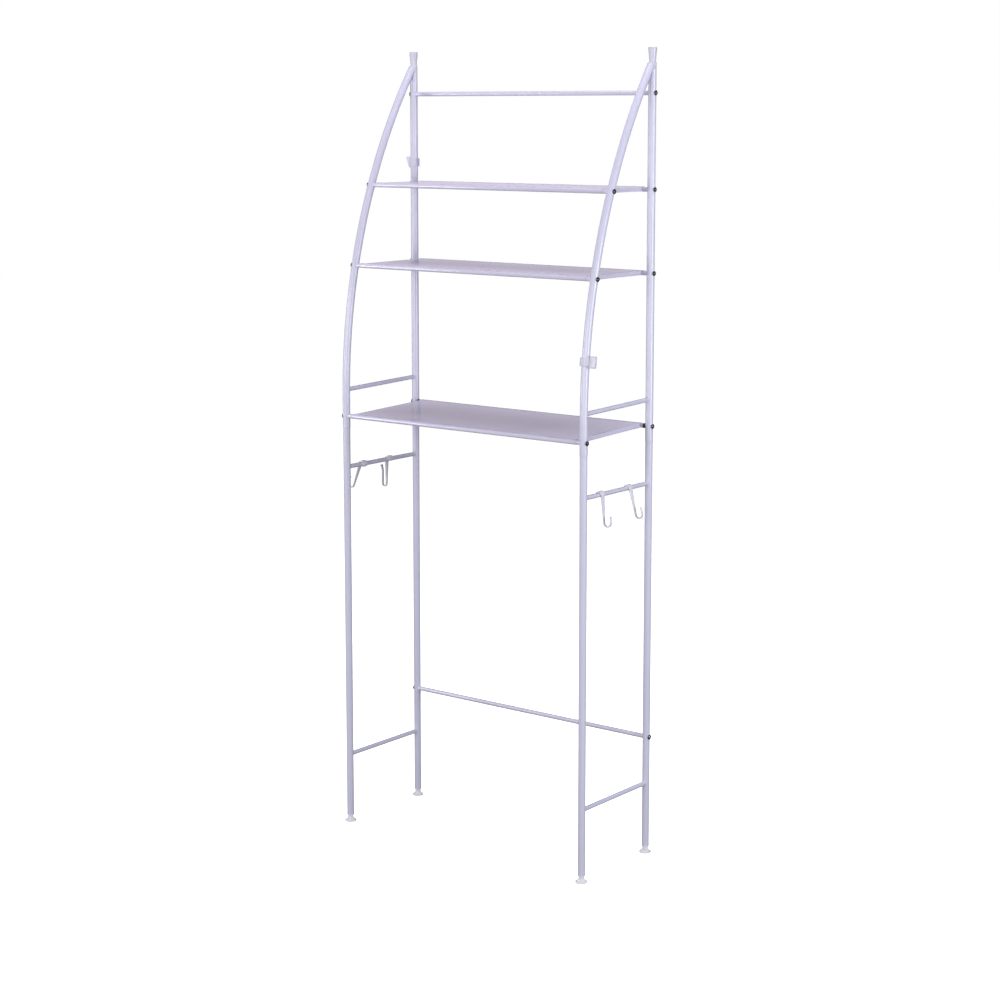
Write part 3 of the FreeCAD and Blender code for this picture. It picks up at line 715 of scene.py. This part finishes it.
def smooth(low, high, value):
    t = min(1, max(0, (value - low) / (high - low)))
    return t * t * (3 - 2 * t)


def hookLine(shape):
    # middle line of the strip with the width of the strip at each point
    wall = hook["wall"]
    ring = hook["bore"] + wall / 2
    turn = shape["turn"] + wall / 2
    line = [(x, z, hook["width"]) for x, z in arcPoints(ring, hook["lip"], 0, 40)]
    for step in range(1, 25):
        z = -hook["drop"] * step / 24
        first = hook["width"] + (hook["shank"] - hook["width"]) * smooth(0, 0.10, step / 24)
        width = first + (hook["shankLow"] - hook["shank"]) * smooth(0.02, 1.0, step / 24) ** 0.8
        line.append((ring, z, width))
    for x, z in arcPoints(turn, 180, 360, 24, (ring + turn, -hook["drop"]))[1:]:
        line.append((x, z, hook["limb"] + (hook["shankLow"] - hook["limb"]) * 0.5))
    outer = ring + 2 * turn
    for step in range(1, 9):
        line.append((outer, -hook["drop"] + shape["limb"] * step / 8, hook["limb"]))
    if shape["rise"]:
        for step in range(1, 9):
            t = step / 8
            line.append((outer + shape["out"] * t ** 1.4, -hook["drop"] + shape["limb"] + shape["rise"] * t,
                         hook["limb"] + 2.2 * smooth(0.1, 1, t)))
    return line


def hookShell(shape):
    wall, edge = hook["wall"], hook["edge"]
    line = hookLine(shape)
    stations = []
    across = Vector((0, 1, 0))
    for number, (x, z, width) in enumerate(line):
        ahead = line[min(number + 1, len(line) - 1)]
        behind = line[max(number - 1, 0)]
        along = Vector((ahead[0] - behind[0], 0, ahead[1] - behind[1])).normalized()
        stations.append((Vector((x, 0, z)), across, along.cross(across), width, along))
    ends = []
    for at, sign in ((0, -1), (-1, 1)):  # round both ends over
        point, side, up, width, along = stations[at]
        for t in (0.35, 0.65, 0.87, 0.97):
            shrink = math.sqrt(1 - t * t)
            ends.append((point + along * sign * t * wall * 0.5, side, up,
                         width - wall * (1 - shrink) * 0.9, shrink))
    verts, faces = [], []
    rows = list(reversed(ends[:4])) + [(p, s, u, w, 1) for p, s, u, w, _ in stations] + ends[4:]
    for point, side, up, width, thick in rows:
        half = width / 2
        tall = wall / 2 * thick
        corner = min(edge, tall * 0.95)
        ring = roundCorners([(-half, -tall, corner), (half, -tall, corner), (half, tall, corner),
                             (-half, tall, corner)], True, 22.5)
        count = len(ring)
        verts += [point + side * a + up * b for a, b in ring]
    for row in range(len(rows) - 1):
        for k in range(count):
            n = (k + 1) % count
            faces.append((row * count + k, row * count + n,
                          (row + 1) * count + n, (row + 1) * count + k))
    faces.append(tuple(reversed(range(count))))
    faces.append(tuple((len(rows) - 1) * count + k for k in range(count)))
    return verts, faces


def addHooks():
    for corner, (side, _) in corners.items():
        shape = hook["tall"] if corner == "left_rear" else hook["wide"]
        pivot = Vector(joints[corner + "_hook_turn"]["pos_m"]) / mm
        facing = Matrix.Rotation(0 if side > 0 else math.pi, 4, "Z")
        lean = Matrix.Rotation(math.radians(-hookLean[corner]), 4, "Y")
        shell = moved(hookShell(shape), Matrix.Translation(pivot) @ facing @ lean)
        addPiece(corner + "_towel_hook", [shell], fittingPlastic, corner + "_hook",
                 [corner + "_hook"], 40)


addHooks()
print("hooks hung")


clip = {"bore": 8.56, "wall": 2.2, "height": 18, "open": 137, "lip": 2.6, "edge": 0.6,
        "root": 9.8, "thick": 2.4, "half": 12.5, "corner": 2.6, "rim": 2.0, "proud": 2.6}  # mm, degrees
clipReach = {"left": (24.5, 15.5), "right": (28.5, 27.5)}  # at the tab's top and bottom


def collarShell():
    # C-shaped spring collar round Z, open towards -X, its mouth flared
    middle = clip["bore"] + clip["wall"] / 2
    half = []
    for x, y in arcPoints(middle, 0, clip["open"] - 5, 30):
        half.append(Vector((x, y, 0)))
    heading = math.radians(clip["open"] - 5 + 90)
    point, bend, steps = half[-1].copy(), -math.radians(88), 9
    for step in range(steps):
        heading += bend / steps
        point = point + Vector((math.cos(heading), math.sin(heading), 0)) * (clip["lip"] / 6)
        half.append(point.copy())
    line = [Vector((p.x, -p.y, 0)) for p in reversed(half[1:])] + half
    up = Vector((0, 0, 1))
    section = roundCorners([(-clip["wall"] / 2, -clip["height"] / 2, clip["edge"]),
                            (clip["wall"] / 2, -clip["height"] / 2, clip["edge"]),
                            (clip["wall"] / 2, clip["height"] / 2, clip["edge"]),
                            (-clip["wall"] / 2, clip["height"] / 2, clip["edge"])], True, 22.5)
    stations = []
    for number, point in enumerate(line):
        along = (line[min(number + 1, len(line) - 1)] - line[max(number - 1, 0)]).normalized()
        tip = min(number, len(line) - 1 - number)
        thin = min(1, 0.55 + 0.15 * tip)
        stations.append((point, along.cross(up), up, thin, 1 - 0.05 * (1 - thin)))
    return sweep(stations, section)


def tabShells(reachTop, reachLow):
    root, half, corner, rim = clip["root"], clip["half"], clip["corner"], clip["rim"]
    outline = [(root, -half), (reachLow, -half, corner), (reachTop, half, corner), (root, half)]
    slab = plate([tuple(p) for p in roundCorners(outline)], -clip["thick"] / 2, clip["thick"] / 2)
    outer = roundCorners([(root, -half), (reachLow, -half, corner), (reachTop, half, corner), (root, half)])
    inner = roundCorners([(root, -half + rim), (reachLow - rim, -half + rim, corner * 0.6),
                          (reachTop - rim, half - rim, corner * 0.6), (root, half - rim)])
    back, front = -clip["thick"] / 2 + 0.4, -clip["thick"] / 2 - clip["proud"]
    count = len(outer)
    verts, faces = [], []
    for y in (back, front):
        for ring in (outer, inner):
            verts += [Vector((x, y, z)) for x, z in ring]
    for k in range(count - 1):  # the rim is open at the root, where it runs into the collar
        n = k + 1
        faces.append((k, n, 2 * count + n, 2 * count + k))
        faces.append((count + k, 3 * count + k, 3 * count + n, count + n))
        faces.append((2 * count + k, 2 * count + n, 3 * count + n, 3 * count + k))
        faces.append((k, count + k, count + n, n))
    for k in (0, count - 1):
        faces.append((k, 2 * count + k, 3 * count + k, count + k))
    return [slab, (verts, faces)]


def addClips():
    height = centreOf("right_clip").z
    rest = math.asin((height - bow["straightTo"]) / bow["radius"])
    front = centreOf("right_front_leg")
    leftAt = centreOf("left_rear_upright")
    places = {
        "left": Matrix.Translation((leftAt.x, leftAt.y, centreOf("left_clip").z))
        @ Matrix.Rotation(math.pi, 4, "Z"),
        "right": Matrix.Translation((front.x, front.y + bowLean(height), height))
        @ Matrix.Rotation(-rest, 4, "X"),
    }
    for side, place in places.items():
        slab, rim = tabShells(*clipReach[side])
        body = [moved(shell, place) for shell in (collarShell(), rim)]
        grip = addPiece(side + "_tube_clip", body, shadedCopyPlastic, side + "_clip",
                        [side + "_clip"], 30)
        # on the right the tab face takes the lighter copy as painted light, while the rim in the collar piece
        # keeps the darker copy as painted shade
        tab = addPiece(side + "_clip_tab", [moved(slab, place)],
                       litTabPlastic if side == "right" else shadedCopyPlastic, side + "_clip",
                       [side + "_clip"], 30)
        for piece in (grip, tab):
            soften = piece.modifiers.new("mouldRadius", "BEVEL")
            soften.width = 0.45 * mm
            soften.segments = 3
            soften.limit_method = "ANGLE"
            soften.angle_limit = math.radians(40)


addClips()
print("clips pushed on")


def addFloor():
    mesh = bpy.data.meshes.new("floor")
    reach = 14
    mesh.from_pydata([(-reach, -reach, 0), (reach, -reach, 0), (reach, reach, 0), (-reach, reach, 0)],
                     [], [(0, 1, 2, 3)])
    material, tree, _ = newMaterial("paleFloor")
    shader = addNode(tree, "BsdfPrincipled", {"Base Color": linearColour("F6F6F8"), "Roughness": 0.85,
                                              "Emission Color": linearColour("FFFFFF"),
                                              "Emission Strength": 0.95})
    finishMaterial(tree, shader)
    mesh.materials.append(material)
    floor = bpy.data.objects.new("floor", mesh)
    bpy.context.scene.collection.objects.link(floor)
    floor.visible_diffuse = floor.visible_glossy = False  # keeps its glow off the undersides


def addLight(name, place, target, size, power, colour="FFFFFF"):
    lamp = bpy.data.lights.new(name, "AREA")
    lamp.shape = "RECTANGLE"
    lamp.size, lamp.size_y = size
    lamp.energy = power
    lamp.color = linearColour(colour)[:3]
    light = bpy.data.objects.new(name, lamp)
    light.location = place
    light.visible_camera = False
    aim = Vector(target) - Vector(place)
    light.rotation_euler = aim.to_track_quat("-Z", "Y").to_euler()
    bpy.context.scene.collection.objects.link(light)


def addWorld():
    world = bpy.data.worlds.new("studio")
    world.use_nodes = True
    tree = world.node_tree
    tree.nodes.clear()
    seen = addNode(tree, "LightPath")
    around = addNode(tree, "Background", {"Color": linearColour("FFFFFF"), "Strength": 0.09})
    behind = addNode(tree, "Background", {"Color": linearColour("FFFFFF"), "Strength": 1.0})
    both = addNode(tree, "MixShader")
    tree.links.new(seen.outputs["Is Camera Ray"], both.inputs["Fac"])
    tree.links.new(around.outputs[0], both.inputs[1])
    tree.links.new(behind.outputs[0], both.inputs[2])
    addNode(tree, "OutputWorld", links={"Surface": both.outputs[0]})
    bpy.context.scene.world = world


addFloor()
addLight("softboxRight", (3.2, -0.1, 1.25), (0, 0, 1.2), (1.3, 1.5), 70, "F6F9FF")
addLight("softboxLeft", (-2.3, -2.1, 1.25), (0, 0, 1.2), (0.9, 1.5), 44, "FFFBFF")
addLight("fill", (0.9, -3.7, 1.35), (0, 0, 1.15), (3.4, 1.6), 92)
addLight("overhead", (0.1, 0.2, 3.3), (0, 0, 1.0), (2.2, 1.4), 44, "FBF5FF")
addLight("backdrop", (-2.6, 3.3, 1.75), (0, 0, 1.4), (4.5, 1.9), 18, "EFE4FA")
addWorld()
bpy.context.scene.view_settings.view_transform = "Standard"
print("studio lit")
